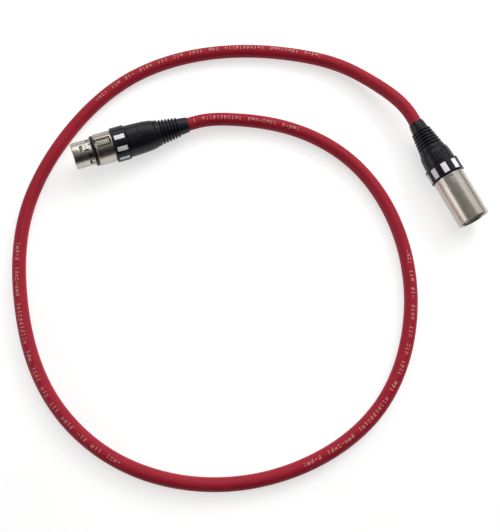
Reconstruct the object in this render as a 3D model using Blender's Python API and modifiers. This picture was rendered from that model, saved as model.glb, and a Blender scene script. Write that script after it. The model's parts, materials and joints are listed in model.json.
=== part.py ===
"""Balanced microphone lead with a three-pole socket connector on one end and a three-pole plug
connector on the other, lying on a table in one and a quarter open turns.

Every connector is built in its own frame, held by an empty: local +Z runs along the connector from
the cable to the mating face, local +Y points at the latch side, and z = 0 is on the bare jacket just
behind the boot. All sizes are in metres.
"""

import math

import bmesh
import bpy
import numpy as np
from mathutils import Euler, Matrix, Vector

MM = 0.001
GAP = 0.3 * MM

# ---------------------------------------------------------------- driving dimensions
CABLE_RADIUS = 4.0 * MM
JACKET_INSIDE = 28.0 * MM
ROUTE_STEP = 4.0 * CABLE_RADIUS

PLUG_LENGTH = 70.1 * MM
PLUG_SHELL_RADIUS = 9.5 * MM
SOCKET_LENGTH = 73.0 * MM
SOCKET_BODY_RADIUS = 9.5 * MM
NOSE_RADIUS = 7.85 * MM
NOSE_LENGTH = 11.8 * MM

BOOT_REAR = 1.2 * MM
BOOT_FRONT = 22.0 * MM
BOOT_FLANGE_RADIUS = 8.1 * MM
RIB_COUNT = 6
RIB_PITCH = 2.0 * MM
THREAD_PITCH = 1.25 * MM
THREAD_TURNS = 3

CODE_RING_RADIUS = 10.5 * MM
CODE_RING_LENGTH = 8.4 * MM
CODE_RING_WALL = 0.5 * MM
CODE_POSITIONS = 9
WINDOW_LENGTH = 6.5 * MM
WINDOW_WIDTH = 3.6 * MM
# Each connector's turn of the windows, the position left blank, and how far the windows sit forward.
PLUG_CODE = (math.radians(-15.0), 4, 0.4 * MM)
SOCKET_CODE = (math.radians(2.0), 8, 0.0)

PIN_CIRCLE_RADIUS = 4.5 * MM
PIN_RADIUS = 1.2 * MM
PIN_EXPOSED = 10.8 * MM
PIN_FLOOR = 13.9 * MM

# ---------------------------------------------------------------- where each connector lies
PLUG_EXIT = (93.0 * MM, -3.8 * MM)
PLUG_ROLL = math.radians(75.0)
SOCKET_EXIT = (-29.7 * MM, 57.5 * MM)
SOCKET_HEADING = math.radians(173.2)
SOCKET_NOSE_UP = math.radians(5.0)

# ---------------------------------------------------------------- worked out from them
BORE_RADIUS = CABLE_RADIUS + GAP + 0.02 * MM
CAP_TRAVEL = THREAD_TURNS * THREAD_PITCH
STRAIGHT_REACH = CAP_TRAVEL + THREAD_PITCH
SPIGOT_RADIUS = 7.7 * MM
BUSHING_BORE = SPIGOT_RADIUS + GAP
REAR_BORE = 7.2 * MM
NECK_RADIUS = 8.55 * MM
BUSHING_REAR = BOOT_FRONT + GAP
PLUG_RING_REAR = 31.9 * MM
PLUG_SHELL_REAR = PLUG_RING_REAR + CODE_RING_LENGTH + 0.4 * MM
SOCKET_RING_REAR = 39.9 * MM
SOCKET_BODY_REAR = SOCKET_RING_REAR + CODE_RING_LENGTH + 0.4 * MM
NOSE_REAR = SOCKET_LENGTH - NOSE_LENGTH
SOCKET_BODY_FRONT = NOSE_REAR - 2.3 * MM
CHUCK_REAR = 25.5 * MM
CHUCK_FRONT = 35.4 * MM
PLUG_SPIGOT_REAR = 33.0 * MM
SLEEVE_FLOOR = 44.0 * MM
PLUG_CUP_REAR = 40.6 * MM
SOCKET_SPIGOT_REAR = 41.0 * MM
SOCKET_CUP_REAR = 49.0 * MM
LATCH_HINGE = (0.0, 6.6 * MM, 51.0 * MM)
CHANNEL_FRONT = 68.4 * MM
INSERT_FLAT = 4.4 * MM
CUP_RADIUS = 1.35 * MM
CUP_BORE = 0.95 * MM
SPOTS = [(-1.0, 0.0), (1.0, 0.0), (0.0, -1.0)]
ROUND = 48
SMALL = 16

# The way of the cable over the table, from the socket connector round to the plug connector.
ROUTE = [
    (-1.4, 47.7, 4.8), (20.1, 32.8, 4.0), (47.5, -6.2, 4.0), (52.0, -57.3, 4.0), (31.3, -109.3, 4.0),
    (-8.4, -144.8, 4.0), (-60.1, -154.1, 4.0), (-112.1, -139.6, 4.0), (-153.6, -102.9, 4.0),
    (-171.3, -54.6, 4.0), (-165.2, 0.2, 4.0), (-142.3, 49.1, 4.0), (-101.9, 84.5, 4.0),
    (-48.7, 103.6, 4.0), (0.5, 98.0, 4.0), (51.0, 71.9, 4.1), (71.8, 52.7, 5.0), (84.9, 30.5, 7.3),
]


# ---------------------------------------------------------------- scene, materials, placing
def clear_scene():
    for leftover in list(bpy.data.objects):
        bpy.data.objects.remove(leftover, do_unlink=True)


def new_collection(name):
    collection = bpy.data.collections.new(name)
    bpy.context.scene.collection.children.link(collection)
    return collection


def make_material(name, colour, roughness, metallic):
    material = bpy.data.materials.new(name)
    material.use_nodes = True
    shader = material.node_tree.nodes["Principled BSDF"]
    shader.inputs["Base Color"].default_value = (*colour, 1.0)
    shader.inputs["Roughness"].default_value = roughness
    shader.inputs["Metallic"].default_value = metallic
    material.diffuse_color = (*colour, 1.0)
    return material


def make_holder(name, location, rotation):
    """An empty that carries one connector: its axis is the joint axis of what turns on it."""
    holder = bpy.data.objects.new(name, None)
    holder.empty_display_size = 10.0 * MM
    holder.location = location
    holder.rotation_euler = rotation
    PART.objects.link(holder)
    return holder


def add_object(name, data, holder, material, location=(0.0, 0.0, 0.0)):
    thing = bpy.data.objects.new(name, data)
    thing.parent = holder
    thing.location = location
    if material is not None:
        data.materials.append(material)
    PART.objects.link(thing)
    return thing


def add_cutter(name, data, holder, location=(0.0, 0.0, 0.0)):
    cutter = bpy.data.objects.new("cut_" + name, data)
    cutter.parent = holder
    cutter.location = location
    cutter.hide_render = True
    cutter.display_type = "WIRE"
    CUTTERS.objects.link(cutter)
    return cutter


def boolean(thing, cutter, operation="DIFFERENCE"):
    modifier = thing.modifiers.new(cutter.name, "BOOLEAN")
    modifier.object = cutter
    modifier.operation = operation
    modifier.solver = "EXACT"


# ---------------------------------------------------------------- shapes
def turned(name, profile, holder, material, steps=ROUND, closed=True, location=(0.0, 0.0, 0.0)):
    """A turned piece from (radius, z) points: the outside runs from the mating end to the cable."""
    mesh = bpy.data.meshes.new(name)
    edges = [(index, index + 1) for index in range(len(profile) - 1)]
    if closed:
        edges.append((len(profile) - 1, 0))
    mesh.from_pydata([(radius, 0.0, z) for radius, z in profile], edges, [])
    thing = add_object(name, mesh, holder, material, location)
    screw = thing.modifiers.new("turn", "SCREW")
    screw.axis = "Z"
    screw.steps = steps
    screw.render_steps = steps
    screw.use_merge_vertices = True
    screw.merge_threshold = 0.00001
    screw.use_smooth_shade = True
    return thing


def box_mesh(name, boxes):
    """One mesh of separate boxes, each given by its middle, its size and its turn about Z."""
    shape = bmesh.new()
    for middle, size, turn in boxes:
        matrix = Matrix.Rotation(turn, 4, "Z") @ Matrix.Translation(middle) @ Matrix.Diagonal((*size, 1.0))
        bmesh.ops.create_cube(shape, size=1.0, matrix=matrix)
    mesh = bpy.data.meshes.new(name)
    shape.to_mesh(mesh)
    shape.free()
    return mesh


def rod_mesh(name, places, radius, low, high, axis="Z"):
    """One mesh of parallel rods with the same radius, each from low to high along the axis."""
    shape = bmesh.new()
    turn = Matrix.Rotation(math.radians(90.0), 4, "Y") if axis == "X" else Matrix.Identity(4)
    for place in places:
        middle = Matrix.Translation((0.0, 0.0, (low + high) / 2.0))
        matrix = Matrix.Translation(place) @ turn @ middle
        bmesh.ops.create_cone(
            shape, cap_ends=True, segments=SMALL, radius1=radius, radius2=radius,
            depth=high - low, matrix=matrix,
        )
    mesh = bpy.data.meshes.new(name)
    shape.to_mesh(mesh)
    shape.free()
    return mesh


def strip_mesh(name, outline, width):
    """A strip as wide as given along X, with its side view as (z, y) points, counter-clockwise."""
    shape = bmesh.new()
    side = [shape.verts.new((-width / 2.0, y, z)) for z, y in outline]
    face = shape.faces.new(side)
    grown = bmesh.ops.extrude_face_region(shape, geom=[face])
    moved = [item for item in grown["geom"] if isinstance(item, bmesh.types.BMVert)]
    bmesh.ops.translate(shape, verts=moved, vec=(width, 0.0, 0.0))
    bmesh.ops.recalc_face_normals(shape, faces=shape.faces)
    mesh = bpy.data.meshes.new(name)
    shape.to_mesh(mesh)
    shape.free()
    return mesh


def wire(name, points, radius, detail, material, holder=None):
    """A round wire or cable through the given points, with closed ends."""
    curve = bpy.data.curves.new(name, "CURVE")
    curve.dimensions = "3D"
    curve.bevel_depth = radius
    curve.bevel_resolution = detail
    curve.use_fill_caps = True
    curve.render_resolution_u = 0
    spline = curve.splines.new("POLY")
    spline.points.add(len(points) - 1)
    for control, point in zip(spline.points, points):
        control.co = (*point, 1.0)
    spline.use_smooth = True
    return add_object(name, curve, holder, material)


def smooth_curve(points, count=None):
    """Points at even steps along a natural cubic spline through the given points."""
    knots = np.array(points, dtype=float)
    gaps = np.linalg.norm(np.diff(knots, axis=0), axis=1)
    stations = np.concatenate(([0.0], np.cumsum(gaps)))
    size = len(knots)
    system = np.eye(size)
    loads = np.zeros((size, 3))
    for row in range(1, size - 1):
        before = gaps[row - 1]
        after = gaps[row]
        system[row, row - 1:row + 2] = (before, 2.0 * (before + after), after)
        loads[row] = 6.0 * ((knots[row + 1] - knots[row]) / after - (knots[row] - knots[row - 1]) / before)
    bends = np.linalg.solve(system, loads)
    fine = np.linspace(0.0, stations[-1], 40 * size)
    spans = np.clip(np.searchsorted(stations, fine, side="right") - 1, 0, size - 2)
    width = gaps[spans][:, None]
    right = (fine - stations[spans])[:, None]
    left = width - right
    line = (bends[spans] * left ** 3 + bends[spans + 1] * right ** 3) / (6.0 * width)
    line += (knots[spans] / width - bends[spans] * width / 6.0) * left
    line += (knots[spans + 1] / width - bends[spans + 1] * width / 6.0) * right
    travel = np.concatenate(([0.0], np.cumsum(np.linalg.norm(np.diff(line, axis=0), axis=1))))
    if count is None:
        count = int(round(travel[-1] / ROUTE_STEP)) + 1
    even = np.linspace(0.0, travel[-1], count)
    return [tuple(float(np.interp(at, travel, line[:, axis])) for axis in range(3)) for at in even]


def spot_places(z=0.0):
    return [(x * PIN_CIRCLE_RADIUS, y * PIN_CIRCLE_RADIUS, z) for x, y in SPOTS]


# ---------------------------------------------------------------- pieces that both connectors have
def boot(side, holder):
    """The ribbed rubber boot: collar, ribs, a plain flange and a spigot inside the bushing."""
    inner_radius = 6.9 * MM
    spigot_end = BOOT_FRONT + 3.0 * MM
    rib_start = 7.5 * MM
    first_rib = 6.1 * MM
    rib_growth = 0.29 * MM
    rib_depth = 1.2 * MM
    profile = [
        (BORE_RADIUS, spigot_end), (inner_radius, spigot_end), (inner_radius, BOOT_FRONT),
        (BOOT_FLANGE_RADIUS, BOOT_FRONT), (7.75 * MM, rib_start + RIB_COUNT * RIB_PITCH),
    ]
    for index in reversed(range(RIB_COUNT)):
        crest = first_rib + index * rib_growth
        foot = rib_start + index * RIB_PITCH
        profile.append((crest - rib_depth + rib_growth, foot + 0.98 * RIB_PITCH))
        profile.append((crest - rib_depth + rib_growth, foot + 0.62 * RIB_PITCH))
        profile.append((crest, foot + 0.45 * RIB_PITCH))
        profile.append((crest, foot + 0.05 * RIB_PITCH))
    profile.append((5.1 * MM, rib_start - 0.15 * MM))
    profile.append((5.1 * MM, 5.7 * MM))
    profile.append((4.9 * MM, 3.6 * MM))
    profile.append((4.5 * MM, BOOT_REAR))
    profile.append((BORE_RADIUS, BOOT_REAR))
    turned(side + "_boot", profile, holder, RUBBER, steps=36)


def bushing(side, holder, ring_rear, shoulder_radius, rear_radius, spigot_rear):
    """The screwed black back shell: a neck under the coding ring, then a rounded taper."""
    front = ring_rear + CODE_RING_LENGTH - 0.6 * MM
    shoulder = ring_rear - GAP
    length = shoulder - BUSHING_REAR
    drop = shoulder_radius - rear_radius
    rows = 6
    profile = [(BUSHING_BORE, front), (NECK_RADIUS, front), (NECK_RADIUS, shoulder)]
    profile.append((shoulder_radius - 0.2 * MM, shoulder))
    for row in range(rows + 1):
        share = row / rows
        radius = shoulder_radius - drop * (0.35 * share + 0.65 * share ** 4.5)
        profile.append((radius, shoulder - 0.3 * MM - (length - 0.6 * MM) * share))
    profile.append((rear_radius - 0.3 * MM, BUSHING_REAR))
    profile.append((REAR_BORE, BUSHING_REAR))
    profile.append((REAR_BORE, spigot_rear - 2.0 * MM))
    profile.append((BUSHING_BORE, spigot_rear - 1.0 * MM))
    turned(side + "_bushing", profile, holder, BLACK_PLASTIC)


def window_boxes(ring_rear, code, inner, outer, trim):
    """The boxes of the coding windows, one at each position except the blank one."""
    phase, blank, forward = code
    middle = Vector((0.0, (inner + outer) / 2.0, ring_rear + CODE_RING_LENGTH / 2.0 + forward))
    size = (WINDOW_WIDTH - 2.0 * trim, outer - inner, WINDOW_LENGTH - 2.0 * trim)
    boxes = []
    for position in range(CODE_POSITIONS):
        if position != blank:
            boxes.append((middle, size, -phase - math.tau * position / CODE_POSITIONS))
    return boxes


def coding_ring(side, holder, ring_rear, code):
    """The black carrier ring with a row of windows, hollow inside for the label band."""
    front = ring_rear + CODE_RING_LENGTH
    lip = 8.9 * MM
    hollow = 9.8 * MM
    edge = 0.35 * MM
    profile = [
        (lip, front), (CODE_RING_RADIUS - edge, front), (CODE_RING_RADIUS, front - edge),
        (CODE_RING_RADIUS, ring_rear + edge), (CODE_RING_RADIUS - edge, ring_rear), (lip, ring_rear),
        (lip, ring_rear + CODE_RING_WALL), (hollow, ring_rear + CODE_RING_WALL),
        (hollow, front - CODE_RING_WALL), (lip, front - CODE_RING_WALL),
    ]
    ring = turned(side + "_coding_ring", profile, holder, BLACK_PLASTIC, steps=45)
    boxes = window_boxes(ring_rear, code, 9.5 * MM, 11.0 * MM, 0.0)
    boolean(ring, add_cutter(side + "_windows", box_mesh(side + "_windows", boxes), holder))


def label_band(side, holder, ring_rear, code):
    """The white band inside the coding ring, with a raised block in each window."""
    rear = ring_rear + CODE_RING_WALL + GAP
    front = ring_rear + CODE_RING_LENGTH - CODE_RING_WALL - GAP
    profile = [(8.9 * MM, front), (9.5 * MM, front), (9.5 * MM, rear), (8.9 * MM, rear)]
    band = turned(side + "_label_band", profile, holder, WHITE_PLASTIC, steps=45)
    boxes = window_boxes(ring_rear, code, 9.3 * MM, 10.25 * MM, GAP)
    boolean(band, add_cutter(side + "_blocks", box_mesh(side + "_blocks", boxes), holder), "UNION")


def chuck(side, holder):
    """The slit collet that grips the jacket when the bushing is screwed up."""
    profile = [
        (BORE_RADIUS, CHUCK_FRONT), (6.0 * MM, CHUCK_FRONT), (6.3 * MM, CHUCK_FRONT - 0.3 * MM),
        (6.3 * MM, CHUCK_REAR + 3.0 * MM), (5.3 * MM, CHUCK_REAR), (BORE_RADIUS, CHUCK_REAR),
    ]
    collet = turned(side + "_chuck", profile, holder, WHITE_PLASTIC, steps=32)
    slit_end = CHUCK_REAR + 6.4 * MM
    slit_start = CHUCK_REAR - 1.0 * MM
    middle = Vector((0.0, 0.0, (slit_start + slit_end) / 2.0))
    for number, turn in enumerate((0.25, 0.75)):
        slit = box_mesh("slit", [(middle, (15.0 * MM, 0.8 * MM, slit_end - slit_start), turn * math.pi)])
        boolean(collet, add_cutter(side + "_slit_" + str(number), slit, holder))


def cores(side, holder, cup_rear):
    """The two insulated cores and the sleeved screen, from the cut jacket into the solder cups."""
    names = ("hot_core", "cold_core", "screen_tail")
    materials = (CORE_RED, CORE_WHITE, BLACK_PLASTIC)
    start = JACKET_INSIDE + GAP
    finish = cup_rear + 1.6 * MM
    for (x, y), name, material in zip(SPOTS, names, materials):
        near = 1.75 * MM
        far = PIN_CIRCLE_RADIUS
        bend_low = start + 0.3 * (finish - start)
        bend_high = start + 0.72 * (finish - start)
        way = [(near, start), (near, bend_low), (far, bend_high), (far, cup_rear - 0.4 * MM), (far, finish)]
        knots = [(x * reach, y * reach, z) for reach, z in way]
        wire(side + "_" + name, smooth_curve(knots, 9), 0.6 * MM, 2, material, holder)


def ground_contact(side, holder, seat, z_low, z_high):
    """The sprung metal tab between the insert and the shell, which joins the shell to the screen."""
    thick = 0.25 * MM
    outline = [
        (z_low, -seat - 0.1 * MM), (z_low + 0.6 * MM, -seat - thick), (z_high - 1.4 * MM, -seat - thick),
        (z_high, -seat - thick + 0.12 * MM), (z_high, -seat), (z_low, -seat),
    ]
    tab = strip_mesh(side + "_ground", outline, 3.0 * MM)
    add_object(side + "_ground_contact", tab, holder, SPRING_STEEL)


# ---------------------------------------------------------------- the plug connector
def plug_shell(holder):
    """The nickel-plated sleeve round the pins, with its threaded spigot and its latch slot."""
    front = PLUG_LENGTH
    inside = 6.65 * MM
    bore = 8.2 * MM
    profile = [
        (bore, front - 0.3 * MM), (bore + 0.3 * MM, front), (PLUG_SHELL_RADIUS - 0.3 * MM, front),
        (PLUG_SHELL_RADIUS, front - 0.3 * MM), (PLUG_SHELL_RADIUS, PLUG_SHELL_REAR + 0.25 * MM),
        (PLUG_SHELL_RADIUS - 0.25 * MM, PLUG_SHELL_REAR), (SPIGOT_RADIUS, PLUG_SHELL_REAR),
        (SPIGOT_RADIUS, PLUG_SPIGOT_REAR), (inside, PLUG_SPIGOT_REAR), (inside, SLEEVE_FLOOR),
        (bore, SLEEVE_FLOOR),
    ]
    shell = turned("plug_shell", profile, holder, NICKEL, steps=60)
    slot = (Vector((0.0, 9.0 * MM, front - 3.0 * MM)), (5.0 * MM, 4.0 * MM, 2.6 * MM), 0.0)
    boolean(shell, add_cutter("latch_slot", box_mesh("slot", [slot]), holder))


def plug_insert(holder):
    """The black disc that holds the pins, cut flat below for the ground contact."""
    front = PLUG_LENGTH - PIN_FLOOR
    rear = SLEEVE_FLOOR + GAP
    radius = 7.9 * MM
    edge = 0.3 * MM
    profile = [(0.0, front), (radius - edge, front), (radius, front - edge), (radius, rear), (0.0, rear)]
    insert = turned("plug_insert", profile, holder, BLACK_PLASTIC, steps=40, closed=False)
    holes = rod_mesh("plug_holes", spot_places(), PIN_RADIUS + GAP, rear - 1.0 * MM, front + 1.0 * MM)
    boolean(insert, add_cutter("plug_pin_holes", holes, holder))
    flat = (Vector((0.0, -radius, 47.5 * MM)), (3.8 * MM, 2.2 * MM, 8.6 * MM), 0.0)
    boolean(insert, add_cutter("plug_ground_flat", box_mesh("flat", [flat]), holder))


def plug_pins(holder):
    """Three round pins with rounded tips and solder cups behind."""
    tip = PLUG_LENGTH - PIN_FLOOR + PIN_EXPOSED
    rear = PLUG_CUP_REAR
    profile = [
        (0.0, tip), (0.45 * PIN_RADIUS, tip - 0.12 * MM), (0.83 * PIN_RADIUS, tip - 0.5 * MM),
        (PIN_RADIUS, tip - 1.1 * MM), (PIN_RADIUS, 43.6 * MM), (CUP_RADIUS, 43.6 * MM), (CUP_RADIUS, rear),
        (CUP_BORE, rear), (CUP_BORE, rear + 2.6 * MM), (0.0, rear + 2.6 * MM),
    ]
    for number, place in enumerate(spot_places(), start=1):
        turned("plug_pin_" + str(number), profile, holder, BRASS, SMALL, False, place)


def build_plug(holder, pin_holder):
    plug_shell(pin_holder)
    plug_insert(pin_holder)
    plug_pins(pin_holder)
    ground_contact("plug", pin_holder, 7.4 * MM, 44.4 * MM, 50.6 * MM)
    cores("plug", pin_holder, PLUG_CUP_REAR)
    chuck("plug", holder)
    coding_ring("plug", holder, PLUG_RING_REAR, PLUG_CODE)
    label_band("plug", holder, PLUG_RING_REAR, PLUG_CODE)
    bushing("plug", holder, PLUG_RING_REAR, 9.5 * MM, 8.55 * MM, PLUG_SPIGOT_REAR)
    boot("plug", holder)


# ---------------------------------------------------------------- the socket connector
def socket_housing(holder):
    """The nickel-plated body and nose in one casting, slotted along the top for the latch."""
    front = SOCKET_LENGTH
    bore = 6.95 * MM
    profile = [
        (bore, front), (NOSE_RADIUS - 0.35 * MM, front), (NOSE_RADIUS, front - 0.35 * MM),
        (NOSE_RADIUS, SOCKET_BODY_FRONT), (SOCKET_BODY_RADIUS - 0.2 * MM, SOCKET_BODY_FRONT),
        (SOCKET_BODY_RADIUS, SOCKET_BODY_FRONT - 0.2 * MM),
        (SOCKET_BODY_RADIUS, SOCKET_BODY_REAR + 0.2 * MM),
        (SOCKET_BODY_RADIUS - 0.2 * MM, SOCKET_BODY_REAR), (SPIGOT_RADIUS, SOCKET_BODY_REAR),
        (SPIGOT_RADIUS, SOCKET_SPIGOT_REAR), (bore, SOCKET_SPIGOT_REAR),
    ]
    housing = turned("socket_housing", profile, holder, NICKEL, steps=56)
    top = 7.5 * MM
    recess = (Vector((0.0, top, 54.35 * MM)), (5.0 * MM, 5.0 * MM, 9.5 * MM), 0.0)
    boolean(housing, add_cutter("button_recess", box_mesh("recess", [recess]), holder))
    low = 57.0 * MM
    middle = Vector((0.0, top, (low + CHANNEL_FRONT) / 2.0))
    channel = (middle, (3.8 * MM, 5.0 * MM, CHANNEL_FRONT - low), 0.0)
    boolean(housing, add_cutter("latch_channel", box_mesh("channel", [channel]), holder))
    holes = rod_mesh("hinge_holes", [(0.0, 0.0, 0.0)], 0.7 * MM, -4.5 * MM, 4.5 * MM, "X")
    boolean(housing, add_cutter("latch_pin_holes", holes, holder, LATCH_HINGE))


def socket_gasket(holder):
    """The black ring between the body and the nose."""
    rear = SOCKET_BODY_FRONT + GAP
    front = NOSE_REAR
    inner = NOSE_RADIUS + GAP
    outer = SOCKET_BODY_RADIUS - 0.4 * MM
    profile = [
        (inner, front), (outer - 0.4 * MM, front), (outer, front - 0.9 * MM), (outer, rear), (inner, rear),
    ]
    turned("socket_gasket", profile, holder, RUBBER)


def socket_insert(holder):
    """The black block with the contact chambers, cut flat along the top under the latch."""
    front = SOCKET_LENGTH - 0.1 * MM
    rear = 52.5 * MM
    radius = 6.65 * MM
    chamber_front = 70.5 * MM
    edge = 0.25 * MM
    profile = [(0.0, front), (radius - edge, front), (radius, front - edge), (radius, rear), (0.0, rear)]
    insert = turned("socket_insert", profile, holder, BLACK_PLASTIC, steps=40, closed=False)
    flat = (Vector((0.0, INSERT_FLAT + 2.0 * MM, 60.2 * MM)), (14.0 * MM, 4.0 * MM, 17.2 * MM), 0.0)
    boolean(insert, add_cutter("insert_flat", box_mesh("flat", [flat]), holder))
    chambers = rod_mesh("chambers", spot_places(), 1.85 * MM, rear - 1.0 * MM, chamber_front)
    boolean(insert, add_cutter("contact_chambers", chambers, holder))
    mouths = rod_mesh("mouths", spot_places(), 1.35 * MM, chamber_front - 0.5 * MM, front + 1.0 * MM)
    boolean(insert, add_cutter("contact_mouths", mouths, holder))
    relief = (Vector((0.0, -6.9 * MM, 55.0 * MM)), (3.8 * MM, 1.6 * MM, 7.0 * MM), 0.0)
    boolean(insert, add_cutter("socket_ground_flat", box_mesh("relief", [relief]), holder))


def socket_contacts(holder):
    """Three turned contacts, bored in front for the pins and cupped behind for solder."""
    front = 70.2 * MM
    rear = SOCKET_CUP_REAR
    outer = 1.55 * MM
    bore = PIN_RADIUS + 0.05 * MM
    profile = [
        (0.0, 58.0 * MM), (bore, 58.0 * MM), (bore, front), (outer, front), (outer, 53.0 * MM),
        (CUP_RADIUS, 53.0 * MM), (CUP_RADIUS, rear), (CUP_BORE, rear), (CUP_BORE, rear + 2.6 * MM),
        (0.0, rear + 2.6 * MM),
    ]
    for number, place in enumerate(spot_places(), start=1):
        turned("socket_contact_" + str(number), profile, holder, BRASS, SMALL, False, place)


def latch(holder):
    """The latch lever: an eye on the hinge pin, a button in the body and a hook in the nose."""
    _, hinge_y, hinge_z = LATCH_HINGE
    lever_low = 5.9 * MM
    lever_high = 7.0 * MM
    nose_end = 67.9 * MM
    side_view = [
        (hinge_z - 1.2 * MM, hinge_y - 0.5 * MM), (hinge_z - 0.5 * MM, hinge_y - 1.15 * MM),
        (hinge_z + 0.5 * MM, hinge_y - 1.15 * MM), (hinge_z + 1.2 * MM, lever_low), (nose_end, lever_low),
        (nose_end, lever_high - 0.2 * MM), (66.9 * MM, lever_high), (65.3 * MM, 8.7 * MM),
        (62.9 * MM, 8.7 * MM), (62.9 * MM, lever_high), (hinge_z + 0.9 * MM, lever_high),
        (hinge_z + 0.9 * MM, hinge_y + 0.9 * MM), (hinge_z - 0.4 * MM, hinge_y + 1.2 * MM),
        (hinge_z - 1.2 * MM, hinge_y + 0.5 * MM),
    ]
    side_view = [(z - hinge_z, y - hinge_y) for z, y in side_view]
    lever = add_object("latch", strip_mesh("latch", side_view, 3.2 * MM), holder, NICKEL, LATCH_HINGE)
    top = 9.3 * MM - hinge_y
    low = 0.3 * MM
    middle = Vector((0.0, (top + low) / 2.0, 3.3 * MM))
    button = box_mesh("button", [(middle, (4.2 * MM, top - low, 8.0 * MM), 0.0)])
    boolean(lever, add_cutter("latch_button", button, holder, LATCH_HINGE), "UNION")
    eye = rod_mesh("eye", [(0.0, 0.0, 0.0)], 0.65 * MM, -3.0 * MM, 3.0 * MM, "X")
    boolean(lever, add_cutter("latch_eye", eye, holder, LATCH_HINGE))


def latch_pin(holder):
    pin = rod_mesh("latch_pin", [(0.0, 0.0, 0.0)], 0.35 * MM, -4.2 * MM, 4.2 * MM, "X")
    add_object("latch_pin", pin, holder, SPRING_STEEL, LATCH_HINGE)


def latch_spring(holder):
    """The leaf spring that rests on the insert and pushes the lever up beside its hinge."""
    floor = INSERT_FLAT + GAP
    thick = 0.22 * MM
    side_view = [
        (52.9 * MM, 5.3 * MM), (57.2 * MM, floor), (60.4 * MM, floor), (60.4 * MM, floor + thick),
        (57.3 * MM, floor + thick), (52.9 * MM, 5.3 * MM + thick),
    ]
    add_object("latch_spring", strip_mesh("latch_spring", side_view, 2.4 * MM), holder, SPRING_STEEL)


def build_socket(holder):
    socket_housing(holder)
    socket_gasket(holder)
    socket_insert(holder)
    socket_contacts(holder)
    latch(holder)
    latch_pin(holder)
    latch_spring(holder)
    ground_contact("socket", holder, 6.35 * MM, 52.0 * MM, 57.6 * MM)
    cores("socket", holder, SOCKET_CUP_REAR)
    chuck("socket", holder)
    coding_ring("socket", holder, SOCKET_RING_REAR, SOCKET_CODE)
    label_band("socket", holder, SOCKET_RING_REAR, SOCKET_CODE)
    bushing("socket", holder, SOCKET_RING_REAR, 9.7 * MM, 8.45 * MM, SOCKET_SPIGOT_REAR)
    boot("socket", holder)


# ---------------------------------------------------------------- the cable
def along_axis(holder, z):
    return tuple(holder.matrix_basis @ Vector((0.0, 0.0, z)))


def build_cable(socket_holder, plug_holder):
    """The jacket: straight through each boot, then down on to the table and round the loop."""
    reaches = (JACKET_INSIDE, JACKET_INSIDE / 2.0, 0.0, -STRAIGHT_REACH)
    knots = [along_axis(socket_holder, z) for z in reaches]
    knots += [(x * MM, y * MM, z * MM) for x, y, z in ROUTE]
    knots += [along_axis(plug_holder, z) for z in reversed(reaches)]
    way = [(x, y, max(z, CABLE_RADIUS)) for x, y, z in smooth_curve(knots)]
    wire("cable", way, CABLE_RADIUS, 3, JACKET)


clear_scene()
PART = new_collection("microphone_lead")
CUTTERS = new_collection("microphone_lead_cutters")
CUTTERS.hide_render = True

NICKEL = make_material("satin_nickel", (0.47, 0.43, 0.37), 0.3, 1.0)
BLACK_PLASTIC = make_material("black_plastic", (0.018, 0.018, 0.022), 0.42, 0.0)
RUBBER = make_material("black_rubber", (0.014, 0.014, 0.017), 0.6, 0.0)
WHITE_PLASTIC = make_material("white_plastic", (0.76, 0.75, 0.8), 0.45, 0.0)
BRASS = make_material("plated_brass", (0.72, 0.53, 0.24), 0.25, 1.0)
SPRING_STEEL = make_material("spring_steel", (0.42, 0.42, 0.43), 0.35, 1.0)
CORE_RED = make_material("red_core", (0.45, 0.03, 0.03), 0.5, 0.0)
CORE_WHITE = make_material("white_core", (0.75, 0.74, 0.7), 0.5, 0.0)
JACKET = make_material("red_jacket", (0.3, 0.018, 0.032), 0.42, 0.0)

SOCKET_Z = CODE_RING_RADIUS * math.cos(SOCKET_NOSE_UP) - SOCKET_RING_REAR * math.sin(SOCKET_NOSE_UP)
PLUG = make_holder("plug_axis", (*PLUG_EXIT, CODE_RING_RADIUS), Euler((math.pi / 2.0, 0.0, 0.0)))
SOCKET = make_holder(
    "socket_axis", (*SOCKET_EXIT, SOCKET_Z),
    Euler((math.pi / 2.0 - SOCKET_NOSE_UP, 0.0, SOCKET_HEADING + math.pi / 2.0)),
)
PLUG_PINS = make_holder("plug_pin_axis", (0.0, 0.0, 0.0), Euler((0.0, 0.0, -PLUG_ROLL)))
PLUG_PINS.parent = PLUG

build_plug(PLUG, PLUG_PINS)
build_socket(SOCKET)
build_cable(SOCKET, PLUG)
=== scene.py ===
"""Looks of the microphone lead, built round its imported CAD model.

Every piece of a connector is modelled in that connector's own frame, in millimetres: +Z runs from the
cable to the mating face, +Y points at the latch side, angles count from +Y towards +X, and z = 0 is on the
bare jacket just behind the boot. It is then placed in the row frame, in metres.
"""

import json
import math
import random

import bmesh
import bpy
import numpy as np
from mathutils import Matrix, Vector


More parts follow.
